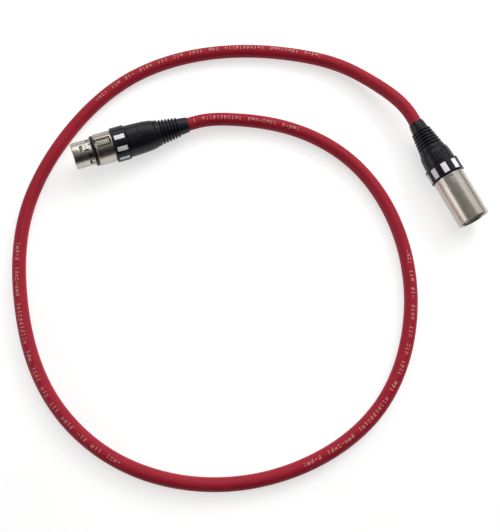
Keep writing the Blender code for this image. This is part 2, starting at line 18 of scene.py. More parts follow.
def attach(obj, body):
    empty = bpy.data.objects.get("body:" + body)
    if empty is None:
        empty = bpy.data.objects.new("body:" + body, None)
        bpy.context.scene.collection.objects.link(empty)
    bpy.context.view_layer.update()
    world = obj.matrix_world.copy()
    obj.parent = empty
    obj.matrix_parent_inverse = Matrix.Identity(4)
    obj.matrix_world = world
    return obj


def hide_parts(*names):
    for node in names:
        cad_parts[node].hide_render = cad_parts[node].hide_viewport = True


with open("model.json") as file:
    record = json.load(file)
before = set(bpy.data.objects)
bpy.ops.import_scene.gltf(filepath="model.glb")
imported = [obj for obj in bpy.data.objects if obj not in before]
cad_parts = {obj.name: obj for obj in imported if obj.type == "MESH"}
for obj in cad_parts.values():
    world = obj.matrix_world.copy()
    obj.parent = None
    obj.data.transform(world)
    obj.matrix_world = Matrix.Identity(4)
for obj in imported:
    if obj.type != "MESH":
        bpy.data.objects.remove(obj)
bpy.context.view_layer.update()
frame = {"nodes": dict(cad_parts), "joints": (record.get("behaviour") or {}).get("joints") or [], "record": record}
JOINTS = {joint["name"]: joint for joint in frame["joints"]}

MM = 0.001
MERGE = 0.00001
SHARP = math.radians(38.0)

# ---------------------------------------------------------------- driving dimensions, in millimetres
GAP = 0.3
CABLE_RADIUS = 4.0
JACKET_INSIDE = 28.0
STRAIGHT_REACH = 5.0

PLUG_FRONT = 70.1
PLUG_RADIUS = 9.5
PLUG_REAR = 40.7
PLUG_RING_REAR = 31.9
PLUG_SPIGOT_REAR = 33.0
PLUG_ROLL = math.radians(75.0)
PIN_FLOOR = 13.9
PIN_LENGTH = 10.8

SOCKET_FRONT = 73.0
SOCKET_RADIUS = 9.5
SOCKET_REAR = 48.7
SOCKET_RING_REAR = 39.9
SOCKET_SPIGOT_REAR = 41.0
SOCKET_BODY_FRONT = 58.9
NOSE_RADIUS = 7.85
NOSE_REAR = 61.2
HINGE_Y = 6.6
HINGE_Z = 51.0

BOOT_REAR = 1.2
BOOT_FRONT = 22.0
RIB_COUNT = 6
RIB_PITCH = 2.0
SPIGOT_RADIUS = 7.7
BUSHING_BORE = 8.0
REAR_BORE = 7.2
NECK_RADIUS = 8.55
RING_RADIUS = 10.5
RING_LENGTH = 8.4
RING_WALL = 0.5
RING_BORE = 8.9
POSITIONS = 9
WINDOW_LENGTH = 6.5
WINDOW_WIDTH = 3.6
PIN_CIRCLE = 4.5
PIN_RADIUS = 1.2
PIN_SPOTS = [(-1.0, 0.0), (1.0, 0.0), (0.0, -1.0)]

# The way of the cable over the table, from the socket connector round to the plug, in metres.
ROUTE = [
    (-0.0014, 0.0477, 0.0048), (0.0201, 0.0328, 0.0040), (0.0475, -0.0062, 0.0040),
    (0.0520, -0.0573, 0.0040), (0.0313, -0.1093, 0.0040), (-0.0084, -0.1448, 0.0040),
    (-0.0601, -0.1541, 0.0040), (-0.1121, -0.1396, 0.0040), (-0.1536, -0.1029, 0.0040),
    (-0.1713, -0.0546, 0.0040), (-0.1652, 0.0002, 0.0040), (-0.1423, 0.0491, 0.0040),
    (-0.1019, 0.0845, 0.0040), (-0.0487, 0.1036, 0.0040), (0.0005, 0.0980, 0.0040),
    (0.0510, 0.0719, 0.0041), (0.0718, 0.0527, 0.0050), (0.0849, 0.0305, 0.0073),
]


# ---------------------------------------------------------------- frames
def connector_frame(joint_name, side):
    """A connector's own frame in the row frame, from the joint that its bushing turns on."""
    joint = JOINTS[joint_name]
    forward = -Vector(joint["axis"])
    right = Vector(side).normalized()
    matrix = Matrix((right, forward.cross(right), forward)).transposed().to_4x4()
    matrix.translation = joint["pos_m"]
    return matrix @ Matrix.Scale(MM, 4)


PLUG = connector_frame("plug_cap_turn", (1.0, 0.0, 0.0))
PLUG_PINS = PLUG @ Matrix.Rotation(-PLUG_ROLL, 4, "Z")
SOCKET = connector_frame("socket_cap_turn", JOINTS["latch_press"]["axis"])


# ---------------------------------------------------------------- camera and lights
def direction(azimuth, elevation):
    """The unit vector to a place round the object: azimuth 0 is -Y, and 90 is +X."""
    turn = math.radians(azimuth)
    rise = math.radians(elevation)
    flat = math.cos(rise)
    return Vector((math.sin(turn) * flat, -math.cos(turn) * flat, math.sin(rise)))


def make_camera():
    azimuth = -26.51
    elevation = 74.5
    height = 0.4595
    target = Vector((-0.0361, -0.0380, 0.0))
    back = direction(azimuth, elevation)
    right = Vector((math.cos(math.radians(azimuth)), math.sin(math.radians(azimuth)), 0.0))
    place = Matrix((right, back.cross(right), back)).transposed().to_4x4()
    place.translation = target + back * height / math.sin(math.radians(elevation))
    data = bpy.data.cameras.new("camera")
    data.lens = 54.54
    data.sensor_width = 36.0
    data.clip_start = 0.01
    camera = bpy.data.objects.new("camera", data)
    camera.matrix_world = place
    bpy.context.scene.collection.objects.link(camera)
    bpy.context.scene.camera = camera


def softbox(name, azimuth, elevation, distance, size, power, glossy=True):
    """A rectangular soft light that faces the object from its direction."""
    data = bpy.data.lights.new(name, "AREA")
    data.shape = "RECTANGLE"
    data.size, data.size_y = size
    data.energy = power
    light = bpy.data.objects.new(name, data)
    back = direction(azimuth, elevation)
    light.location = Vector((-0.03, -0.03, 0.0)) + back * distance
    light.rotation_euler = back.to_track_quat("Z", "Y").to_euler()
    light.visible_glossy = glossy
    bpy.context.scene.collection.objects.link(light)


def make_lights():
    """Soft lights: most of the light comes from the back right, and metal mirrors only the last three."""
    softbox("top_light", 120.0, 70.0, 1.6, (1.2, 1.2), 6.5, glossy=False)
    softbox("key_light", 114.0, 32.0, 1.5, (0.7, 0.5), 13.2, glossy=False)
    softbox("back_light", 160.0, 40.0, 1.1, (1.0, 0.75), 3.9)
    softbox("right_light", 102.0, 42.0, 1.1, (1.0, 0.9), 2.2)
    softbox("left_light", -106.0, 17.0, 1.0, (0.9, 0.4), 2.1)


def make_world():
    """A room that is grey overhead and towards the back, and nearly black on the camera's side."""
    world = bpy.data.worlds.new("studio")
    world.use_nodes = True
    bpy.context.scene.world = world
    tree = world.node_tree
    where = add(tree, "ShaderNodeTexCoord")
    split = add(tree, "ShaderNodeSeparateXYZ")
    tree.links.new(where.outputs["Generated"], split.inputs[0])
    overhead = (1.0, (0.32, 0.315, 0.31))
    lit = ramp(tree, split.outputs["Z"], [(0.12, (0.3, 0.3, 0.29)), (0.5, (0.25, 0.25, 0.24)), overhead])
    dim = ramp(tree, split.outputs["Z"], [
        (0.0, (0.1, 0.095, 0.09)), (0.05, (0.02, 0.018, 0.017)), (0.85, (0.03, 0.028, 0.027)), overhead,
    ])
    lit_side = add(tree, "ShaderNodeVectorMath", {1: direction(173.0, 0.0)}, operation="DOT_PRODUCT")
    tree.links.new(where.outputs["Generated"], lit_side.inputs[0])
    shade = mixed(tree, between(tree, lit_side.outputs["Value"], 0.0, 1.0, -0.5, 0.0), dim, lit)
    tree.links.new(shade, tree.nodes["Background"].inputs["Color"])


def make_floor(material):
    size = 3.0
    mesh = bpy.data.meshes.new("floor")
    corners = [(-size, -size, 0.0), (size, -size, 0.0), (size, size, 0.0), (-size, size, 0.0)]
    mesh.from_pydata(corners, [], [(0, 1, 2, 3)])
    mesh.materials.append(material)
    floor = bpy.data.objects.new("floor", mesh)
    floor.location = (0.0, 0.0, -0.0001)
    bpy.context.scene.collection.objects.link(floor)


# ---------------------------------------------------------------- node helpers
def add(tree, kind, values=None, **settings):
    item = tree.nodes.new(kind)
    for key, value in settings.items():
        setattr(item, key, value)
    for key, value in (values or {}).items():
        item.inputs[key].default_value = value
    return item


def ramp(tree, factor, stops):
    """A colour ramp over a factor, from (place, colour) stops."""
    item = add(tree, "ShaderNodeValToRGB")
    elements = item.color_ramp.elements
    while len(elements) < len(stops):
        elements.new(0.5)
    for element, (place, colour) in zip(elements, stops):
        element.position = place
        element.color = (*colour, 1.0)
    tree.links.new(factor, item.inputs["Fac"])
    return item.outputs["Color"]


def between(tree, factor, low, high, start=0.3, end=0.7):
    """A number that goes from low to high as the factor goes from start to end."""
    item = add(tree, "ShaderNodeMapRange")
    tree.links.new(factor, item.inputs["Value"])
    for key, value in (("From Min", start), ("From Max", end), ("To Min", low), ("To Max", high)):
        item.inputs[key].default_value = value
    return item.outputs["Result"]


def place_of(tree):
    """A piece's own coordinates, in millimetres, from the attribute that goes with its mesh."""
    return add(tree, "ShaderNodeAttribute", attribute_name="place").outputs["Vector"]


def row_place(tree):
    """The coordinates of the row frame, in metres."""
    return add(tree, "ShaderNodeTexCoord").outputs["Object"]


def noise(tree, source, scale, detail=2.0, stretch=(1.0, 1.0, 1.0)):
    """Noise over a coordinate, as a factor about 0.5."""
    mapping = add(tree, "ShaderNodeMapping", {"Scale": stretch})
    tree.links.new(source, mapping.inputs["Vector"])
    item = add(tree, "ShaderNodeTexNoise", {"Scale": scale, "Detail": detail})
    tree.links.new(mapping.outputs["Vector"], item.inputs["Vector"])
    return item.outputs["Fac"]


def edges(tree):
    """1 on the edges that stick out and 0 on the plain surface."""
    point = add(tree, "ShaderNodeNewGeometry").outputs["Pointiness"]
    return between(tree, point, 0.0, 1.0, 0.52, 0.6)


def mixed(tree, factor, first, second):
    """Two colours mixed by a factor. Each is a colour or another node's output."""
    item = add(tree, "ShaderNodeMix", data_type="RGBA")
    tree.links.new(factor, item.inputs["Factor"])
    for key, colour in ((6, first), (7, second)):
        if isinstance(colour, tuple):
            item.inputs[key].default_value = (*colour, 1.0)
        else:
            tree.links.new(colour, item.inputs[key])
    return item.outputs[2]


def bump(tree, height, distance, strength, under=None):
    """A bump of the height times the distance, in metres, on top of the one under it."""
    item = add(tree, "ShaderNodeBump", {"Distance": distance, "Strength": strength})
    tree.links.new(height, item.inputs["Height"])
    if under is not None:
        tree.links.new(under, item.inputs["Normal"])
    return item.outputs["Normal"]


def start_material(name, metallic=0.0, **values):
    material = bpy.data.materials.new(name)
    material.use_nodes = True
    tree = material.node_tree
    shader = tree.nodes["Principled BSDF"]
    shader.inputs["Metallic"].default_value = metallic
    for key, value in values.items():
        shader.inputs[key.replace("_", " ")].default_value = value
    return material, tree, shader


def wire_up(tree, shader, colour, roughness, normal):
    tree.links.new(colour, shader.inputs["Base Color"])
    tree.links.new(roughness, shader.inputs["Roughness"])
    tree.links.new(normal, shader.inputs["Normal"])


# ---------------------------------------------------------------- materials
def jacket_material():
    """Satin crimson jacket: cloudy colour, faint lengthwise drawing lines and a fine grain."""
    material, tree, shader = start_material("jacket_crimson", Specular_IOR_Level=0.15)
    row = row_place(tree)
    own = place_of(tree)
    cloud = noise(tree, row, 90.0, 3.0)
    colour = ramp(tree, cloud, [(0.3, (0.28, 0.0115, 0.024)), (0.7, (0.33, 0.0145, 0.031))])
    lines = noise(tree, own, 1.0, 2.0, (0.03, 1.6, 1.0))
    colour = mixed(tree, between(tree, lines, 0.0, 0.35), colour, (0.235, 0.009, 0.02))
    specks = noise(tree, row, 2600.0, 1.0)
    colour = mixed(tree, between(tree, specks, 0.0, 0.3, 0.62, 0.8), colour, (0.42, 0.05, 0.06))
    roughness = between(tree, noise(tree, row, 240.0, 3.0), 0.36, 0.52)
    grain = bump(tree, noise(tree, row, 3200.0, 3.0), 0.00006, 0.55)
    normal = bump(tree, lines, 0.00008, 0.5, grain)
    wire_up(tree, shader, colour, roughness, normal)
    return material


def ink_material():
    """Pale print on the jacket, thin enough for the red to show through in places."""
    material, tree, shader = start_material("print_ink")
    row = row_place(tree)
    thin = noise(tree, row, 1900.0, 2.0)
    colour = ramp(tree, thin, [(0.32, (0.4, 0.15, 0.13)), (0.62, (0.6, 0.33, 0.27))])
    roughness = between(tree, noise(tree, row, 900.0), 0.45, 0.6)
    wire_up(tree, shader, colour, roughness, bump(tree, thin, 0.00002, 0.4))
    return material


def nickel_material():
    """Satin nickel plate over turned metal: fine lines round the axis and bright, rubbed edges."""
    material, tree, shader = start_material("satin_nickel", 1.0)
    own = place_of(tree)
    split = add(tree, "ShaderNodeSeparateXYZ")
    tree.links.new(own, split.inputs[0])
    lines = add(tree, "ShaderNodeTexNoise", {"Scale": 5.5, "Detail": 3.0}, noise_dimensions="1D")
    tree.links.new(split.outputs["Z"], lines.inputs["W"])
    turning = lines.outputs["Fac"]
    cloud = noise(tree, own, 0.28, 3.0)
    colour = ramp(tree, cloud, [(0.3, (0.49, 0.455, 0.405)), (0.7, (0.54, 0.505, 0.455))])
    colour = mixed(tree, edges(tree), colour, (0.74, 0.72, 0.67))
    roughness = add(tree, "ShaderNodeMath", operation="ADD")
    tree.links.new(between(tree, cloud, 0.27, 0.31), roughness.inputs[0])
    tree.links.new(between(tree, turning, -0.02, 0.03), roughness.inputs[1])
    grain = bump(tree, noise(tree, own, 9.0, 2.0), 0.000008, 0.3)
    wire_up(tree, shader, colour, roughness.outputs[0], bump(tree, turning, 0.000012, 0.4, grain))
    return material


def plain_metal(name, dark, light, low, high):
    """Bright turned or rolled metal with a little wear, for small metal pieces."""
    material, tree, shader = start_material(name, 1.0)
    row = row_place(tree)
    cloud = noise(tree, row, 420.0, 3.0)
    colour = ramp(tree, cloud, [(0.3, dark), (0.7, light)])
    roughness = between(tree, noise(tree, row, 1500.0, 2.0), low, high)
    wire_up(tree, shader, colour, roughness, bump(tree, noise(tree, row, 5200.0), 0.00001, 0.4))
    return material


def moulded(name, dark, light, edge, low, high, depth, specular=0.5):
    """Moulded plastic or rubber: cloudy colour, a fine eroded grain and worn edges."""
    material, tree, shader = start_material(name, Specular_IOR_Level=specular)
    row = row_place(tree)
    colour = ramp(tree, noise(tree, row, 260.0, 4.0), [(0.3, dark), (0.7, light)])
    colour = mixed(tree, edges(tree), colour, edge)
    dust = between(tree, noise(tree, row, 4200.0, 1.0), 0.0, 0.35, 0.66, 0.8)
    colour = mixed(tree, dust, colour, edge)
    roughness = between(tree, noise(tree, row, 700.0, 3.0), low, high)
    coarse = bump(tree, noise(tree, row, 1500.0, 2.0), depth, 0.5)
    normal = bump(tree, noise(tree, row, 6500.0, 2.0), 0.5 * depth, 0.5, coarse)
    wire_up(tree, shader, colour, roughness, normal)
    return material


def floor_material():
    """A pale floor that glows a little, so that shadows on it stay faint."""
    material, tree, shader = start_material("pale_floor")
    row = row_place(tree)
    colour = ramp(tree, noise(tree, row, 6.0), [(0.3, (0.4, 0.4, 0.4)), (0.7, (0.42, 0.42, 0.418))])
    tree.links.new(colour, shader.inputs["Emission Color"])
    shader.inputs["Emission Strength"].default_value = 1.55
    roughness = between(tree, noise(tree, row, 20.0), 0.6, 0.7)
    wire_up(tree, shader, colour, roughness, bump(tree, noise(tree, row, 900.0), 0.00002, 0.2))
    return material


# ---------------------------------------------------------------- shapes
def shape_mesh(vertices, faces):
    """A closed mesh with merged points and with its faces pointing out."""
    mesh = bpy.data.meshes.new("shape")
    mesh.from_pydata([tuple(point) for point in vertices], [], faces)
    shape = bmesh.new()
    shape.from_mesh(mesh)
    bmesh.ops.remove_doubles(shape, verts=shape.verts, dist=MERGE)
    bmesh.ops.recalc_face_normals(shape, faces=shape.faces)
    shape.to_mesh(mesh)
    shape.free()
    return mesh


def filleted(corners, steps=4):
    """A closed outline with its corners rounded: each corner is (radius, z, size of the rounding)."""
    outline = []
    for index, (radius, z, size) in enumerate(corners):
        here = Vector((radius, z))
        before = Vector(corners[index - 1][:2]) - here
        after = Vector(corners[(index + 1) % len(corners)][:2]) - here
        start = here + before.normalized() * min(size, 0.49 * before.length)
        end = here + after.normalized() * min(size, 0.49 * after.length)
        if size == 0.0:
            outline.append(tuple(here))
            continue
        for step in range(steps + 1):
            share = step / steps
            point = (1.0 - share) ** 2 * start + 2.0 * share * (1.0 - share) * here + share ** 2 * end
            outline.append(tuple(point))
    return outline


def divided(outline, spacing, outside, low, high):
    """The outline with its outer stretches between two heights split into steps of the spacing."""
    result = []
    for index, (radius, z) in enumerate(outline):
        result.append((radius, z))
        next_radius, next_z = outline[(index + 1) % len(outline)]
        outer = min(radius, next_radius) >= outside
        if not outer or max(z, next_z) < low or min(z, next_z) > high:
            continue
        count = int(abs(next_z - z) / spacing)
        for step in range(1, count):
            share = step / count
            between_z = z + share * (next_z - z)
            if low <= between_z <= high:
                result.append((radius + share * (next_radius - radius), between_z))
    return result


def lathe(outline, steps, relief=None, outside=0.0):
    """A turned mesh from a closed outline. relief(angle, z) raises the points beyond the outside radius."""
    vertices = []
    faces = []
    count = len(outline)
    for turn in range(steps):
        angle = 360.0 * turn / steps
        sine = math.sin(math.radians(angle))
        cosine = math.cos(math.radians(angle))
        for index, (radius, z) in enumerate(outline):
            if relief is not None and radius > outside:
                radius += relief(angle, z)
            vertices.append((radius * sine, radius * cosine, z))
            here = turn * count + index
            above = turn * count + (index + 1) % count
            shift = ((turn + 1) % steps - turn) * count
            faces.append((here, above, above + shift, here + shift))
    return shape_mesh(vertices, faces)


def prism(outline, low, high, place=None):
    """A closed outline of (x, z) points drawn out along Y from low to high, then placed by a matrix."""
    count = len(outline)
    place = place or Matrix.Identity(4)
    vertices = [place @ Vector((x, low, z)) for x, z in outline]
    vertices += [place @ Vector((x, high, z)) for x, z in outline]
    faces = [tuple(range(count)), tuple(range(2 * count - 1, count - 1, -1))]
    for index in range(count):
        after = (index + 1) % count
        faces.append((index, index + count, after + count, after))
    return shape_mesh(vertices, faces)


def rounded_block(width, length, corner, low, high, angle, z):
    """A block with rounded corners that stands out from the axis at an angle, from low to high."""
    half_x = width / 2.0
    half_z = length / 2.0
    corners = [(-half_x, -half_z), (half_x, -half_z), (half_x, half_z), (-half_x, half_z)]
    outline = filleted([(x, y, corner) for x, y in corners])
    place = Matrix.Rotation(-math.radians(angle), 4, "Z") @ Matrix.Translation((0.0, 0.0, z))
    return prism(outline, low, high, place)


def rod(x, y, radius, low, high):
    """A round rod along Z."""
    mesh = lathe([(0.0, low), (radius, low), (radius, high), (0.0, high)], 32)
    mesh.transform(Matrix.Translation((x, y, 0.0)))
    return mesh


def joined(meshes):
    """Several meshes as one."""
    shape = bmesh.new()
    for mesh in meshes:
        shape.from_mesh(mesh)
        bpy.data.meshes.remove(mesh)
    result = bpy.data.meshes.new("shape")
    shape.to_mesh(result)
    shape.free()
    return result


def worked(mesh, cutter=None, operation="DIFFERENCE", bevel=0.0):
    """The mesh after a Boolean with a cutter and a bevel of its sharp edges, both in millimetres."""
    collection = bpy.context.scene.collection
    thing = bpy.data.objects.new("thing", mesh)
    collection.objects.link(thing)
    tool = None
    if cutter is not None:
        tool = bpy.data.objects.new("tool", cutter)
        collection.objects.link(tool)
        cut = thing.modifiers.new("cut", "BOOLEAN")
        cut.object = tool
        cut.operation = operation
        cut.solver = "EXACT"
    if bevel > 0.0:
        edge = thing.modifiers.new("edge", "BEVEL")
        edge.width = bevel
        edge.segments = 2
        edge.limit_method = "ANGLE"
        edge.angle_limit = SHARP
        edge.use_clamp_overlap = False
    depsgraph = bpy.context.evaluated_depsgraph_get()
    result = bpy.data.meshes.new_from_object(thing.evaluated_get(depsgraph))
    bpy.data.objects.remove(thing)
    bpy.data.meshes.remove(mesh)
    if tool is not None:
        bpy.data.objects.remove(tool)
        bpy.data.meshes.remove(cutter)
    return result


def slab_faces(rows, columns):
    """The faces of a closed slab made of two like grids of points, one grid's points after the other's."""
    width = columns + 1
    layer = (rows + 1) * width
    faces = []
    for row in range(rows):
        for column in range(columns):
            here = row * width + column
            faces.append((here, here + 1, here + width + 1, here + width))
            faces.append(tuple(index + layer for index in (here, here + width, here + width + 1, here + 1)))
    rim = list(range(columns))
    rim += [row * width + columns for row in range(rows)]
    rim += [rows * width + column for column in range(columns, 0, -1)]
    rim += [row * width for row in range(rows, 0, -1)]
    for first, second in zip(rim, rim[1:] + rim[:1]):
        faces.append((first, first + layer, second + layer, second))
    return faces


def finish_piece(name, mesh, place, material, body, nodes=()):
    """Puts a mesh in the row frame, with its own coordinates kept, on a body and for its CAD nodes."""
    own = mesh.attributes.get("place")
    if own is None:
        own = mesh.attributes.new("place", "FLOAT_VECTOR", "POINT")
        points = np.zeros(len(mesh.vertices) * 3, np.float32)
        mesh.vertices.foreach_get("co", points)
        own.data.foreach_set("vector", points)
    mesh.transform(place)
    mesh.name = name
    mesh.materials.clear()
    mesh.materials.append(material)
    mesh.shade_smooth()
    mesh.set_sharp_from_angle(angle=SHARP)
    piece = bpy.data.objects.new(name, mesh)
    bpy.context.scene.collection.objects.link(piece)
    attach(piece, body)
    if nodes:
        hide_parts(*nodes)
    return piece


# ---------------------------------------------------------------- reliefs
def gap_between(first, second):
    """The smaller angle between two directions, in degrees."""
    return abs((first - second + 180.0) % 360.0 - 180.0)


def ridge(distance, half_width):
    """1 on a line, falling to 0 at half_width from it, with a round top."""
    share = min(1.0, abs(distance) / half_width)
    return 0.5 + 0.5 * math.cos(math.pi * share)


def plateau(inside, edge):
    """0 outside a border and 1 further than the edge inside it."""
    share = min(1.0, max(0.0, inside / edge))
    return share * share * (3.0 - 2.0 * share)


# ---------------------------------------------------------------- the cable
def smooth_curve(points, step):
    """Points at even steps along a natural cubic spline through the given points."""
    knots = np.array(points, dtype=float)
    gaps = np.linalg.norm(np.diff(knots, axis=0), axis=1)
    stations = np.concatenate(([0.0], np.cumsum(gaps)))
    size = len(knots)
    system = np.eye(size)
    loads = np.zeros((size, 3))
    for row in range(1, size - 1):
        before = gaps[row - 1]
        after = gaps[row]
        system[row, row - 1:row + 2] = (before, 2.0 * (before + after), after)
        loads[row] = 6.0 * ((knots[row + 1] - knots[row]) / after - (knots[row] - knots[row - 1]) / before)
    bends = np.linalg.solve(system, loads)
    fine = np.linspace(0.0, stations[-1], 60 * size)
    spans = np.clip(np.searchsorted(stations, fine, side="right") - 1, 0, size - 2)
    width = gaps[spans][:, None]
    right = (fine - stations[spans])[:, None]
    left = width - right
    line = (bends[spans] * left ** 3 + bends[spans + 1] * right ** 3) / (6.0 * width)
    line += (knots[spans] / width - bends[spans] * width / 6.0) * left
    line += (knots[spans + 1] / width - bends[spans + 1] * width / 6.0) * right
    travel = np.concatenate(([0.0], np.cumsum(np.linalg.norm(np.diff(line, axis=0), axis=1))))
    even = np.linspace(0.0, travel[-1], int(travel[-1] / step) + 1)
    return np.stack([np.interp(even, travel, line[:, axis]) for axis in range(3)], axis=1)


def cable_line():
    """The cable's centreline, from inside the socket connector to inside the plug, in metres."""
    reaches = (JACKET_INSIDE, JACKET_INSIDE / 2.0, 0.0, -STRAIGHT_REACH)
    knots = [tuple(SOCKET @ Vector((0.0, 0.0, z))) for z in reaches]
    knots += ROUTE
    knots += [tuple(PLUG @ Vector((0.0, 0.0, z))) for z in reversed(reaches)]
    line = smooth_curve(knots, 0.0012)
    line[:, 2] = np.maximum(line[:, 2], CABLE_RADIUS * MM)
    return line


class Strand:
    """The cable's surface: a point for a distance along it, an angle from its top and a radius."""

    def __init__(self, line):
        self.line = line
        steps = np.linalg.norm(np.diff(line, axis=0), axis=1)
        self.travel = np.concatenate(([0.0], np.cumsum(steps)))
        self.length = float(self.travel[-1])
        heading = np.gradient(line, axis=0)
        heading /= np.linalg.norm(heading, axis=1)[:, None]
        up = np.array((0.0, 0.0, 1.0)) - heading[:, 2:3] * heading
        self.up = up / np.linalg.norm(up, axis=1)[:, None]
        self.side = np.cross(heading, self.up)

    def point(self, along, angle, radius):
        base, up, side = (
            np.array([np.interp(along, self.travel, rows[:, axis]) for axis in range(3)])
            for rows in (self.line, self.up, self.side)
        )
        return base + radius * (math.cos(angle) * up + math.sin(angle) * side)


def jacket_radius(along, angle):
    """The jacket's radius in metres: round, with a trace of the twisted cores under it."""
    lay = 0.046
    return (CABLE_RADIUS - 0.02 + 0.02 * math.cos(2.0 * angle - math.tau * along / lay)) * MM


def make_jacket(strand, material):
    sides = 40
    vertices = []
    places = []
    faces = []
    rings = len(strand.line)
    for ring in range(rings):
        along = strand.travel[ring]
        for side in range(sides):
            angle = math.tau * (side / sides - 0.5)
            radius = jacket_radius(along, angle)
            spoke = math.cos(angle) * strand.up[ring] + math.sin(angle) * strand.side[ring]
            vertices.append(tuple(strand.line[ring] + radius * spoke))
            places.append((along / MM, angle * CABLE_RADIUS, 0.0))
            if ring + 1 < rings:
                here = ring * sides + side
                after = ring * sides + (side + 1) % sides
                faces.append((here, after, after + sides, here + sides))
    faces.append(tuple(range(sides - 1, -1, -1)))
    faces.append(tuple(range((rings - 1) * sides, rings * sides)))
    mesh = bpy.data.meshes.new("jacket")
    mesh.from_pydata(vertices, [], faces)
    own = mesh.attributes.new("place", "FLOAT_VECTOR", "POINT")
    own.data.foreach_set("vector", np.array(places, np.float32).ravel())
    piece = finish_piece("jacket", mesh, Matrix.Identity(4), material, "lead", ["cable"])


def print_mark(strand, start, end, low, high):
    """One thin mark on the jacket, between two distances along it and two arcs from its top."""
    across = 3
    lengths = max(2, int((end - start) / 0.0004) + 1)
    vertices = []
    for lift in (-0.05 * MM, 0.018 * MM):
        for row in range(lengths + 1):
            along = start + (end - start) * row / lengths
            for column in range(across + 1):
                angle = (low + (high - low) * column / across) / (CABLE_RADIUS * MM)
                vertices.append(strand.point(along, angle, jacket_radius(along, angle) + lift))
    return vertices, slab_faces(lengths, across)


def make_print(strand, material):
    """A repeated row of plain bars and dashes, where a cable of this kind carries its printed legend."""
    first_start = -0.053
    period = 0.2525
    pitch = 0.00228
    space = 0.0034
    groups = (4, 3, 3, 4, 3, 3, 4, 3, 11, 8, 5)
    random.seed(7)
    kinds = [random.choice("biduthm") for _ in range(sum(groups))]
    vertices = []
    faces = []
    for legend in range(4):
        along = first_start + period * legend
        index = 0
        for group in groups:
            for _ in range(group):
                for start, end, low, high in mark_boxes(kinds[index]):
                    middle = 0.0006 * math.sin(along * 21.0)
                    if along < (JACKET_INSIDE + 2.0) * MM:
                        continue
                    box = print_mark(
                        strand, along + start * MM, along + end * MM, middle + low * MM, middle + high * MM,
                    )
                    faces += [tuple(corner + len(vertices) for corner in face) for face in box[1]]
                    vertices += box[0]
                index += 1
                along += pitch
            along += space
    mesh = bpy.data.meshes.new("legend")
    mesh.from_pydata([tuple(point) for point in vertices], [], faces)
    shape = bmesh.new()
    shape.from_mesh(mesh)
    bmesh.ops.recalc_face_normals(shape, faces=shape.faces)
    shape.to_mesh(mesh)
    shape.free()
    finish_piece("jacket_marks", mesh, Matrix.Identity(4), material, "lead")


def mark_boxes(kind):
    """The bars of one plain mark, as (start, end, low, high) in millimetres."""
    stroke = 0.38
    top = 1.15
    boxes = {
        "b": [(0.5, 0.5 + stroke, -top, top)],
        "i": [(0.2, 0.2 + stroke, -top, 0.5), (1.1, 1.1 + stroke, -top, 0.5)],
        "d": [(0.1, 1.5, -0.2, 0.15)],
        "u": [(0.1, 1.5, -top, -top + stroke), (0.1, 1.5, 0.25, 0.25 + stroke)],
        "t": [(0.2, 0.2 + stroke, -top, top), (0.95, 0.95 + stroke, -top, 0.4)],
        "h": [(0.6, 0.6 + stroke, -top, -0.2), (0.6, 0.6 + stroke, 0.4, top)],
        "m": [(0.0, stroke, -top, 0.4), (0.65, 0.65 + stroke, -top, 0.4), (1.3, 1.3 + stroke, -top, 0.4)],
    }
    return boxes[kind]


# ---------------------------------------------------------------- pieces that both connectors have
def make_boot(side, place, body, material):
    """The rubber boot: a lip that hugs the cable, six thin ribs and a plain flange."""
    first_rib = 6.1
    growth = 0.29
    depth = 1.2
    rib_start = 7.5
    corners = [
        (4.35, 25.0, 0.1), (6.9, 25.0, 0.15), (6.9, BOOT_FRONT, 0.1), (8.1, BOOT_FRONT, 0.25),
        (7.75, rib_start + RIB_COUNT * RIB_PITCH, 0.2),
    ]
    for index in reversed(range(RIB_COUNT)):
        crest = first_rib + index * growth
        groove = crest - depth + growth
        foot = rib_start + index * RIB_PITCH
        corners.append((groove, foot + 0.98 * RIB_PITCH, 0.2))
        corners.append((groove, foot + 0.62 * RIB_PITCH, 0.2))
        corners.append((crest, foot + 0.45 * RIB_PITCH, 0.22))
        corners.append((crest, foot + 0.05 * RIB_PITCH, 0.22))
    corners += [
        (5.1, rib_start - 0.15, 0.15), (5.15, 6.9, 0.2), (5.1, 5.7, 0.3), (4.92, 3.6, 0.5),
        (4.5, BOOT_REAR, 0.25), (4.07, BOOT_REAR, 0.1), (4.07, 3.0, 0.2), (4.35, 3.6, 0.2),
    ]
    mesh = lathe(filleted(corners), 144)
    finish_piece(side + "_boot_rubber", mesh, place, material, body, [side + "_boot"])


def bushing_corners(ring_rear, shoulder_radius, rear_radius, spigot_rear):
    """The bushing's outline: a neck under the coding ring, a rounded taper and a bored inside."""
    front = ring_rear + RING_LENGTH - 0.6
    shoulder = ring_rear - GAP
    rear = BOOT_FRONT + GAP
    length = shoulder - rear
    drop = shoulder_radius - rear_radius
    corners = [(BUSHING_BORE, front, 0.1), (NECK_RADIUS, front, 0.15), (NECK_RADIUS, shoulder, 0.05)]
    corners.append((shoulder_radius, shoulder, 0.3))
    taper = 8
    for step in range(1, taper):
        share = step / taper
        radius = shoulder_radius - drop * (0.35 * share + 0.65 * share ** 4.5)
        corners.append((radius, shoulder - length * share, 0.0))
    corners += [
        (rear_radius, rear, 0.4), (REAR_BORE, rear, 0.15), (REAR_BORE, spigot_rear - 2.0, 0.1),
        (BUSHING_BORE, spigot_rear - 1.0, 0.1),
    ]
    return corners


